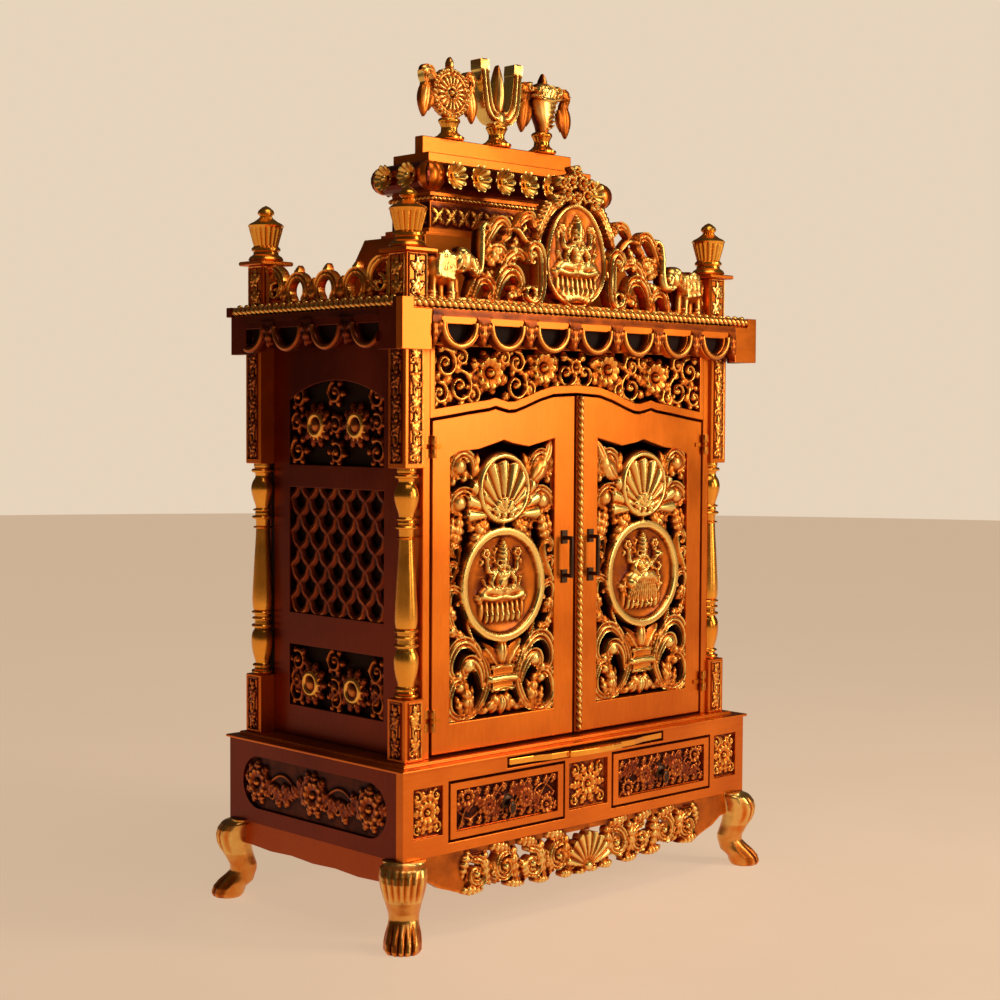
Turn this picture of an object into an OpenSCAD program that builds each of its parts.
// Carved wooden home shrine on a drawer plinth with cabriole legs.
// Frame: +Z up, the front faces -Y, origin on the floor at the middle of the footprint.

/* [Plinth and legs] */
// Width of the plinth box
plinth_w = 914; // [800:2:1000]
// Depth of the plinth box
plinth_d = 502; // [460:2:560]
// Height of the plinth's underside above the floor
leg_h = 151; // [120:1:180]
// Height of the plinth's walls
plinth_h = 152; // [150:1:154]
// Thickness of the plinth's boards
board = 18; // [16:1:20]

/* [Cabinet] */
// Side of the square corner columns
column = 46; // [40:1:50]
// Underside of the canopy's board above the floor
ceiling_z = 1092; // [1085:1:1100]
// Thickness of the doors
door_t = 22; // [18:1:24]
// Gap round each moving piece
gap = 5; // [3:0.5:6]

/* [Canopy] */
// Half width of the canopy
canopy_x = 471; // [465:1:480]
// Thickness of the canopy's hanging edge
fascia_t = 16; // [12:1:18]
// Number of scallops along the front
front_scallops = 7; // [5:2:7]
// Number of scallops along each side
side_scallops = 4; // [3:1:4]

/* [Tower] */
// Height of the sloping roof
roof_h = 131; // [110:1:140]
// Half width of the flower cornice
cornice_x = 247; // [235:1:255]

/* [Hidden] */
px = plinth_w / 2;
py = plinth_d / 2;
z0 = leg_h;
z1 = leg_h + plinth_h;          // top of the plinth's walls, 303
zf = z1 + 10;                   // floor of the shrine, 313
face_y = -214;                  // front plane of the doors and stiles
col_x = 405;
col_fy = -197.5;
col_by = 217;
panel_y0 = col_fy + column / 2;
panel_y1 = col_by - column / 2;
stile_x = 366;
stile_w = 16;
drw_x0 = 68;
drw_x1 = 348;
drw_z0 = 174.5;
drw_z1 = 272;
slot_z = drw_z1 + 2 * gap;      // floor of the tray's slot, 282
tray_x = 206;
hinge_y = face_y - 6;
hinge_x = 363;
tower_y = 11;
top_z = ceiling_z + 18;         // top of the canopy, 1110
roof_z = top_z + roof_h;        // 1241

module box(x0, x1, y0, y1, za, zb) translate([x0, y0, za]) cube([x1 - x0, y1 - y0, zb - za]);
module both_x() { children(); mirror([1, 0, 0]) children(); }
// A flat shape drawn in X and Z, standing between two Y planes
module stand_y(y0, y1) translate([0, y1, 0]) rotate([90, 0, 0]) linear_extrude(y1 - y0) children();
// A flat shape drawn in Y and Z, standing between two X planes
module stand_x(x0, x1) translate([x0, 0, 0]) rotate([90, 0, 90]) linear_extrude(x1 - x0) children();

// A closed skin over rings of points, each ring having the same number of points
module loft(rings) {
    n = len(rings[0]);
    m = len(rings);
    pts = [for (r = rings) for (p = r) p];
    sides = [for (i = [0:m - 2]) for (j = [0:n - 1])
        [i * n + j, (i + 1) * n + j, (i + 1) * n + (j + 1) % n, i * n + (j + 1) % n]];
    polyhedron(points = pts, faces = concat(
        [for (s = sides) [s[0], s[1], s[2]]], [for (s = sides) [s[0], s[2], s[3]]],
        [[for (j = [0:n - 1]) j]], [[for (j = [n - 1:-1:0]) (m - 1) * n + j]]));
}
function rect(a, b, cy, z) = [[-a, cy - b, z], [a, cy - b, z], [a, cy + b, z], [-a, cy + b, z]];

// Cabriole leg: rings along a bent line in the corner's diagonal direction.
// Each entry is [height, distance of the middle outward, half length, half width].
leg_line = [[0, 5, 27, 29], [6, 5, 31, 33], [18, 1, 31, 33], [30, -11, 33, 31], [41, -19, 28, 27.5],
    [50, -25, 25, 26], [60, -25, 25.5, 27], [78, -17, 27, 31], [91, -11, 30, 35], [104, -7, 32, 38],
    [118, -6, 33, 41], [130, -9, 33, 42], [141, -15, 31, 41], [151, -25, 24, 38]];
function leg_ring(e, n = 20) = [for (i = [0:n - 1]) let (a = 360 * i / n, d = e[1] + e[2] * cos(a), w = e[3] * sin(a))
    [(d + w) / sqrt(2), (d - w) / sqrt(2), e[0]]];
module leg() color([0.85, 0.45, 0.08]) translate([px, py, 0]) loft([for (e = leg_line) leg_ring(e)]);
module front_legs() both_x() mirror([0, 1, 0]) leg();
module back_legs() both_x() leg();

// Aprons
module apron_outline() polygon(concat(
    [[-406, 151], [-413, 108], [-392, 106], [-370, 92], [-345, 84], [-316, 72], [-300, 67], [-264, 71], [-228, 74],
     [-200, 66], [-178, 61], [-120, 60], [-62, 57], [-30, 60], [0, 56]],
    [[30, 60], [62, 57], [120, 60], [178, 61], [200, 66], [228, 74], [264, 71], [300, 67], [316, 72], [345, 84],
     [370, 92], [392, 106], [413, 108], [406, 151]]));
module front_apron() color([0.9, 0.5, 0.1]) stand_y(-py + 3, -py + 20) difference() {
    apron_outline();
    for (x = [-282, -205, -135, -68, 68, 135, 205, 282]) translate([x, 108]) circle(r = 17, $fn = 48);
}
module side_apron() stand_x(px - 18, px - 3) polygon(concat(
    [[-201, 151], [-210, 106]], [for (i = [0:12]) [-190 + 380 * i / 12, 107 - 3 * sin(180 * 3 * i / 12) * sin(180 * 3 * i / 12)]],
    [[210, 106], [201, 151]]));
module side_aprons() color([0.75, 0.38, 0.06]) both_x() side_apron();
module back_apron() color([0.6, 0.3, 0.05]) box(-406, 406, py - 20, py - 3, 112, 151);

// Plinth
module plinth_front() color([0.82, 0.36, 0.04]) difference() {
    box(-px, px, -py, -py + board, z0, z1);
    both_x() box(drw_x0 - gap, drw_x1 + gap, -py - 1, -py + board + 1, drw_z0 - gap, drw_z1 + gap);
    box(-tray_x - gap, tray_x + gap, -py - 1, -py + board + 1, slot_z, z1 + 1);
    // shallow carved squares
    both_x() box(366, 433, -py - 1, -py + 7, 186, 273);
    box(-52, 52, -py - 1, -py + 7, 183, 270);
}
module plinth_sides() color([0.6, 0.25, 0.03]) both_x() difference() {
    box(px - board, px, -py + board, py, z0, z1);
    // long recess with round ends for the carved side band
    hull() for (y = [-159, 160]) translate([px - 7, y, 228]) rotate([0, 90, 0]) cylinder(r = 49, h = 10, $fn = 64);
}
module plinth_back() color([0.45, 0.2, 0.03]) box(-px + board, px - board, py - board, py, z0, z1);
module plinth_bottom() color([0.5, 0.24, 0.05]) box(-px + board, px - board, -py + board, py - board, z0, z0 + 12);
module drawer_guides() color([0.5, 0.26, 0.07]) {
    both_x() box(48, 60, -py + board, 180, z0 + 12, drw_z1 + gap - 1);
    both_x() box(356, 368, -py + board, 180, z0 + 12, drw_z1 + gap);
    // shelf and side rails of the pull-out tray, just clear of the guides
    box(-230, 230, -py + board, 140, drw_z1 + gap, slot_z);
    both_x() box(tray_x + gap, tray_x + gap + 13, -py + board, 140, slot_z, z1);
}
module plinth_top() color([0.85, 0.4, 0.05]) {
    box(-px - 6, px + 6, -py - 6, py + 6, z1, z1 + 5);
    box(-440, 440, -233, 244, z1 + 5, zf);
}

// Corner columns: square blocks with a turned length between them
baluster = [[0, 422], [17, 422], [21, 424], [21, 427], [17, 429], [20, 433], [17, 437], [15.5, 442], [19, 456],
    [22, 476], [21.5, 490], [17, 500], [15, 505], [20, 509], [20, 513], [16, 516], [21, 521], [21, 526], [15.5, 530],
    [18, 536], [17, 543], [18.5, 560], [17.5, 610], [15, 660], [13.5, 680], [13, 685], [17, 689], [13, 694], [16, 699],
    [12.5, 703], [11.5, 712], [13, 718], [17, 721], [14, 724], [20, 728], [20, 732], [15, 735], [14, 741], [17, 752],
    [21, 766], [21.5, 774], [17, 785], [14.5, 792], [20, 797], [16, 801], [20, 806], [20, 810], [17, 813], [17, 820], [0, 820]];
module column_post(y) translate([col_x, y, 0]) {
    box(-column / 2, column / 2, -column / 2, column / 2, zf, 422);
    box(-column / 2, column / 2, -column / 2, column / 2, 820, ceiling_z);
    rotate_extrude($fn = 48) polygon(baluster);
}
module front_columns() color([0.95, 0.55, 0.12]) both_x() column_post(col_fy);
module back_columns() color([0.8, 0.42, 0.08]) both_x() column_post(col_by);

// Side panels with three pierced openings, and the fretwork that fills them
fr_y0 = -126;
fr_y1 = 146;
fr_c = (fr_y0 + fr_y1) / 2;
module arch_opening() {
    translate([fr_y0, 820]) square([fr_y1 - fr_y0, 118]);
    intersection() {
        translate([fr_y0, 900]) square([fr_y1 - fr_y0, 80]);
        translate([fr_c, 938 - 249]) circle(r = 285, $fn = 96);
    }
}
module side_panel() stand_x(378, 396) difference() {
    translate([panel_y0, zf]) square([panel_y1 - panel_y0, ceiling_z - zf]);
    arch_opening();
    translate([fr_y0, 545]) square([fr_y1 - fr_y0, 233]);
    translate([fr_y0, 372]) square([fr_y1 - fr_y0, 113]);
}
module fret_ring(y, z, r) difference() {
    translate([y, z]) circle(r = r, $fn = 48);
    translate([y, z]) circle(r = r - 9, $fn = 48);
}
module lattice() {
    // diamond lattice of straight bars
    intersection() {
        translate([fr_y0, 545]) square([fr_y1 - fr_y0, 233]);
        union() for (i = [-4:4]) {
            translate([fr_c + i * 68, 661.5]) rotate(40) square([7, 520], center = true);
            translate([fr_c + i * 68, 661.5]) rotate(-40) square([7, 520], center = true);
        }
    }
}
module fretwork() stand_x(383, 391) {
    difference() {
        translate([fr_y0, 372]) square([fr_y1 - fr_y0, 113]);
        for (y = [-100, -2.5, 22.5, 120]) for (z = [392, 465]) translate([y, z]) circle(r = 11, $fn = 32);
        for (y = [10]) translate([y, 428]) circle(r = 18, $fn = 32);
    }
    lattice();
    difference() {
        arch_opening();
        for (y = [-100, 120]) for (z = [845, 920]) translate([y, z]) circle(r = 13, $fn = 32);
        for (z = [850, 935]) translate([fr_c, z]) circle(r = 18, $fn = 32);
    }
}
module left_side_panel() color([0.35, 0.13, 0.02]) mirror([1, 0, 0]) side_panel();
module right_side_panel() color([0.35, 0.13, 0.02]) side_panel();
module left_fretwork() color([0.5, 0.2, 0.04]) mirror([1, 0, 0]) fretwork();
module right_fretwork() color([0.5, 0.2, 0.04]) fretwork();
module back_panel() color([0.4, 0.17, 0.03]) box(-382, 382, 222, 234, zf, ceiling_z);

// Door top line: flat at the outer edge, a cusp, a dip, then a rise to a level middle
door_top = [[0, 950], [62, 947], [98, 938], [136, 925], [160, 918], [176, 917], [192, 920], [209, 924], [224, 920],
    [272, 914], [320, 907], [366, 901]];
function lifted(h) = [for (p = door_top) [p[0], p[1] + h]];
function turned(l) = [for (i = [len(l) - 1:-1:0]) l[i]];
// Front frame: stiles and the shaped header
module header_outline(h, top) polygon(concat(lifted(h), [[366, top], [0, top]]));
module front_frame() color([0.88, 0.42, 0.05]) both_x() {
    box(stile_x, stile_x + stile_w, face_y, panel_y0, zf, ceiling_z);
    stand_y(face_y, face_y + door_t) difference() {
        // the header stops just short of the stiles
        intersection() {
            header_outline(gap, ceiling_z);
            translate([-1, 800]) square([366.5, 400]);
        }
        intersection() {
            polygon(concat(lifted(gap + 15), [[366, 1033], [0, 1033]]));
            translate([-1, 800]) square([356, 400]);
        }
    }
}
module header_fret() color([0.95, 0.6, 0.15]) stand_y(-209, -201) difference() {
    union() { for (s = [0, 1]) mirror([s, 0]) intersection() {
        polygon(concat(lifted(gap + 15), [[366, 1033], [0, 1033]]));
        translate([-1, 800]) square([356, 400]);
    } }
    for (x = [-290, -145, 0, 145, 290]) translate([x, 1006]) circle(r = 14, $fn = 32);
    for (x = [-250, 250]) translate([x, 955]) circle(r = 13, $fn = 32);
}

// Hinges: the carcase carries the outer knuckles, each door the middle one
hinge_zs = [380, 857];
module knuckle(za, zb) translate([hinge_x, hinge_y, za]) cylinder(r = 5, h = zb - za, $fn = 32);
module door_hinges() color([0.9, 0.75, 0.3]) both_x() for (z = hinge_zs) for (s = [-1, 1]) {
    knuckle(z + s * 12 - 7.5, z + s * 12 + 7.5);
    box(hinge_x, stile_x + stile_w - 3, face_y - 2.5, face_y, z + s * 12 - 7.5, z + s * 12 + 7.5);
    box(hinge_x, hinge_x + 3, hinge_y, face_y, z + s * 12 - 7.5, z + s * 12 + 7.5);
}
// Metalwork of one door, drawn for the side x > 0; xh is the handle's line
module door_metalwork(xh) {
    for (z = hinge_zs) {
        knuckle(z - 4, z + 4);
        box(hinge_x - 22, hinge_x - 1, face_y - 2.5, face_y, z - 4, z + 4);
        box(hinge_x - 3, hinge_x, hinge_y, face_y, z - 4, z + 4);
    }
    // bow handle on two long end plates
    translate([xh, face_y - 20, 613]) cylinder(r = 4, h = 76, $fn = 24);
    for (z = [616, 686]) translate([xh, face_y - 2, z]) rotate([90, 0, 0]) cylinder(r = 3.8, h = 19, $fn = 24);
    box(xh - 7, xh + 7, face_y - 3, face_y, 602, 627);
    box(xh - 7, xh + 7, face_y - 3, face_y, 675, 700);
}

// Doors, drawn for the side x > 0
module door_opening() intersection() {
    polygon([[58, 370], [318, 370], [318, 838], [296, 848], [250, 852], [210, 862], [188, 868], [166, 862], [126, 856], [80, 866], [58, 871]]);
    square([400, 1200]);
}
module door_frame(x0) stand_y(face_y, face_y + door_t) difference() {
    intersection() {
        polygon(concat(door_top, [[366, 318], [0, 318]]));
        translate([x0, 300]) square([360 - x0, 700]);
    }
    door_opening();
}
module door_fret() stand_y(-209, -200) intersection() { door_opening(); union() {
    // shell roundel, figure medallion, the stem between them, and the tied bundle below
    translate([188, 782]) circle(r = 65, $fn = 64);
    translate([188, 608]) circle(r = 104, $fn = 96);
    translate([176, 370]) square([24, 500]);
    translate([128, 370]) square([120, 60]);
    for (s = [-1, 1]) translate([188 + s * 92, 440]) difference() { circle(r = 46, $fn = 48); circle(r = 32, $fn = 48); }
    for (s = [-1, 1]) translate([188 + s * 98, 792]) difference() { circle(r = 38, $fn = 48); circle(r = 26, $fn = 48); }
    for (x = [56, 309]) translate([x, 370]) square([12, 470]);
    for (z = [500, 560, 656, 700, 745]) translate([56, z]) square([266, 8]);
} }
module left_door_frame() color([0.87, 0.4, 0.04]) mirror([1, 0, 0]) door_frame(6.5);
module right_door_frame() color([0.87, 0.4, 0.04]) door_frame(0);
module left_door_fret() color([0.97, 0.65, 0.2]) mirror([1, 0, 0]) door_fret();
module right_door_fret() color([0.97, 0.65, 0.2]) door_fret();
module left_door_metalwork() color([0.25, 0.22, 0.2]) mirror([1, 0, 0]) door_metalwork(33);
module right_door_metalwork() color([0.25, 0.22, 0.2]) door_metalwork(38);
module rope_astragal() color([0.98, 0.75, 0.3]) intersection() {
    translate([7.2, face_y - 2.5, 319]) cylinder(r = 7.5, h = 631, $fn = 32);
    box(-10, 30, face_y - 20, face_y, 300, 960);
}

// Drawers, drawn for the side x > 0
module drawer() {
    difference() {
        box(drw_x0, drw_x1, -py, -py + board, drw_z0, drw_z1);
        box(drw_x0 + 14, drw_x1 - 14, -py - 1, -py + 8, drw_z0 + 12, drw_z1 - 12);
    }
    box(drw_x0 + 4, drw_x0 + 14, -py + board, 150, 178, 262);
    box(drw_x1 - 14, drw_x1 - 4, -py + board, 150, 178, 262);
    box(drw_x0 + 14, drw_x1 - 14, -py + board, 140, 178, 186);
    box(drw_x0 + 14, drw_x1 - 14, 140, 150, 178, 262);
    // drop pull on its plate
    translate([208, -py + 8, 223]) rotate([90, 0, 0]) cylinder(r = 11, h = 5, $fn = 32);
    translate([208, -py + 4, 223]) rotate([90, 0, 0]) cylinder(r = 4, h = 14, $fn = 24);
    translate([208, -py - 6, 213]) rotate([90, 0, 0]) cylinder(r = 9, h = 6, $fn = 32);
}
module left_drawer() color([0.75, 0.35, 0.06]) mirror([1, 0, 0]) drawer();
module right_drawer() color([0.75, 0.35, 0.06]) drawer();
module pull_out_tray() color([0.95, 0.6, 0.15]) translate([0, 0, slot_z + gap]) linear_extrude(11) polygon([
    [-tray_x, 110], [-tray_x, -py], [-150, -py - 4], [-112, -py - 14], [-70, -py - 15], [-70, -py - 21], [-40, -py - 26], [0, -py - 28],
    [40, -py - 26], [70, -py - 21], [70, -py - 15], [112, -py - 14], [150, -py - 4], [tray_x, -py], [tray_x, 110]]);

// Canopy
module canopy_top() color([0.9, 0.5, 0.1]) {
    box(-canopy_x + fascia_t, canopy_x - fascia_t, -262 + fascia_t, 226, ceiling_z, top_z);
    // lips that carry the rope mouldings
    box(-canopy_x + 26, canopy_x - 26, -254, -262 + fascia_t, ceiling_z, top_z);
    both_x() box(canopy_x - fascia_t, canopy_x - 8, -236, 226, ceiling_z, top_z);
}
// Scalloped edge from a to b with n hanging swags, each with a half-moon hole
module scallops(a, b, n) {
    pitch = 112;
    c = (a + b) / 2;
    difference() {
        union() {
            translate([a, 1062]) square([b - a, ceiling_z - 1062]);
            for (i = [0:n - 1]) translate([c + (i - (n - 1) / 2) * pitch, 1068]) intersection() {
                circle(r = 43, $fn = 64);
                translate([-50, -50]) square([100, 60]);
            }
        }
        for (i = [0:n - 1]) translate([c + (i - (n - 1) / 2) * pitch, 1068]) intersection() {
            circle(r = 33, $fn = 64);
            translate([-50, -60]) square([100, 60]);
        }
    }
}
module canopy_front() color([0.88, 0.42, 0.05]) stand_y(-262, -262 + fascia_t) {
    scallops(-canopy_x + 60, canopy_x - 60, front_scallops);
    for (s = [-1, 1]) translate([s * (canopy_x - 33), 1057]) square([66, 70], center = true);
    for (s = [-1, 1]) translate([s * (canopy_x - 13), 1100]) square([26, 20], center = true);
}
module canopy_sides() color([0.7, 0.32, 0.05]) both_x() stand_x(canopy_x - fascia_t, canopy_x) {
    scallops(-240, 226, side_scallops);
    for (y = [-223, 203]) translate([y, 1057]) square([46, 70], center = true);
    translate([-241, 1100]) square([10, 20], center = true);
}
module canopy_back() color([0.6, 0.3, 0.05]) box(-canopy_x, canopy_x, 226, 242, ceiling_z, top_z);

// Finials: block, square cap and turned urn over each column
urn = [[0, 1198], [30, 1198], [33, 1202], [30, 1207], [24, 1211], [23, 1216], [27, 1219], [27, 1223], [23, 1227], [26, 1238],
    [31, 1256], [32, 1262], [34, 1265], [30, 1269], [22, 1273], [14, 1279], [11, 1283], [16, 1288], [14, 1294], [7, 1300], [0, 1303]];
module finial() {
    box(-24, 24, -24, 24, top_z, 1190);
    box(-37, 37, -37, 37, 1190, 1198);
    rotate_extrude($fn = 40) polygon(urn);
}
module finials() color([0.98, 0.65, 0.2]) both_x() {
    translate([400, -194, 0]) finial();
    translate([400, 214, 0]) finial();
}
// Openwork boards along each side between the finials
module crest() stand_x(403, 421) difference() {
    union() {
        polygon([[-170, top_z], [-170, 1188], [-140, 1184], [-118, 1172], [-100, 1152], [-82, 1148], [102, 1148], [120, 1152],
            [138, 1172], [160, 1184], [190, 1188], [190, top_z]]);
        for (y = [-74, 10, 94]) translate([y, 1138]) circle(r = 32, $fn = 48);
    }
    for (y = [-74, 10, 94]) translate([y, 1140]) circle(r = 17, $fn = 48);
    for (y = [-134, 154]) translate([y, 1146]) circle(r = 15, $fn = 48);
    translate([-300, 1050]) square([600, 60]);
}
module side_crests() color([0.9, 0.5, 0.1]) both_x() crest();
// Shaped front board with a tall pointed plaque
pediment_line = [[0, 1380], [24, 1372], [52, 1352], [66, 1332], [78, 1300], [96, 1288], [130, 1276], [165, 1262], [200, 1264],
    [232, 1248], [262, 1216], [300, 1203], [345, 1192], [376, 1186], [376, 1110]];
module pediment() color([0.97, 0.6, 0.15]) {
    stand_y(-206, -190) difference() {
        polygon(concat([for (p = pediment_line) p], [for (i = [len(pediment_line) - 1:-1:1]) [-pediment_line[i][0], pediment_line[i][1]]]));
        for (s = [-1, 1]) for (c = [[118, 1232], [118, 1160], [166, 1205], [214, 1150], [336, 1150]])
            translate([s * c[0], c[1]]) circle(r = 12, $fn = 32);
    }
    intersection() {
        stand_y(-216, -206) scale([1, 1.0]) union() { translate([0, 1200]) circle(r = 76, $fn = 64); polygon([[-76, 1200], [76, 1200], [60, 1250], [30, 1285], [0, 1300], [-30, 1285], [-60, 1250]]); }
        box(-100, 100, -220, -200, 1112, 1310);
    }
}

// Tower
module tower_roof() color([0.75, 0.45, 0.08]) loft([rect(292, 137, tower_y, top_z), rect(258, 86, tower_y, roof_z)]);
module tower_box() color([0.85, 0.42, 0.06]) {
    box(-236, 236, tower_y - 64, tower_y + 64, roof_z, roof_z + 8);
    box(-227, 227, tower_y - 62, tower_y + 62, roof_z + 8, roof_z + 16);
    box(-217, 217, tower_y - 54, tower_y + 54, roof_z + 16, 1325);
}
module flower_cornice() color([0.8, 0.4, 0.06]) loft([for (i = [0:9]) let (t = 180 * i / 9 - 90, k = pow(cos(t), 0.7))
    rect(cornice_x - 27 + 27 * k, 54 + 27 * k, tower_y, 1352.5 + 27.5 * sin(t))]);
module emblem_plank() color([0.95, 0.55, 0.1]) {
    box(-218, 218, tower_y - 50, tower_y + 50, 1380, 1398);
    box(-199, 199, tower_y - 12, tower_y + 10, 1398, 1434);
}
pedestal = [[0, 1434], [30, 1434], [30, 1438], [24, 1441], [17, 1448], [17, 1458], [21, 1466], [20, 1472], [13, 1476], [0, 1476]];
module disc_emblem() color([0.98, 0.75, 0.25]) translate([-124, 8, 0]) {
    rotate_extrude($fn = 40) polygon(pedestal);
    translate([0, 11, 1521]) rotate([90, 0, 0]) cylinder(r = 47, h = 22, $fn = 64);
    box(-75, 66, -5, 5, 1500, 1556);
    box(-75, -52, -7, 7, 1458, 1505);
    box(52, 66, -7, 7, 1458, 1505);
    box(-4, 4, -4, 4, 1560, 1590);
}
module flame_emblem() color([0.98, 0.7, 0.2]) translate([0, 8, 0]) {
    rotate_extrude($fn = 40) polygon(pedestal);
    stand_y(-11, 11) {
        polygon([[-56, 1597], [-40, 1597], [-28, 1520], [-14, 1500], [14, 1500], [28, 1520], [40, 1597], [56, 1597], [46, 1512], [24, 1476], [-24, 1476], [-46, 1512]]);
        polygon([[-7, 1499], [7, 1499], [11, 1530], [6, 1580], [0, 1590], [-6, 1580], [-11, 1530]]);
    }
}
shell_line = [[0, 1470], [8, 1472], [12, 1480], [22, 1500], [32, 1522], [38, 1540], [38, 1550], [30, 1562], [16, 1571], [8, 1577], [4, 1590], [0, 1591]];
module shell_emblem() color([0.98, 0.7, 0.2]) translate([124, 8, 0]) {
    rotate_extrude($fn = 40) polygon(pedestal);
    rotate_extrude($fn = 40) polygon(shell_line);
    box(-66, 75, -5, 5, 1530, 1556);
    box(-66, -52, -7, 7, 1458, 1556);
    box(52, 75, -7, 7, 1458, 1556);
}

front_legs();
back_legs();
front_apron();
side_aprons();
back_apron();
plinth_front();
plinth_sides();
plinth_back();
plinth_bottom();
drawer_guides();
plinth_top();
front_columns();
back_columns();
left_side_panel();
right_side_panel();
left_fretwork();
right_fretwork();
back_panel();
front_frame();
header_fret();
door_hinges();
canopy_top();
canopy_front();
canopy_sides();
canopy_back();
finials();
side_crests();
pediment();
tower_roof();
tower_box();
flower_cornice();
emblem_plank();
disc_emblem();
flame_emblem();
shell_emblem();
left_door_frame();
left_door_fret();
left_door_metalwork();
right_door_frame();
right_door_fret();
right_door_metalwork();
rope_astragal();
left_drawer();
right_drawer();
pull_out_tray();
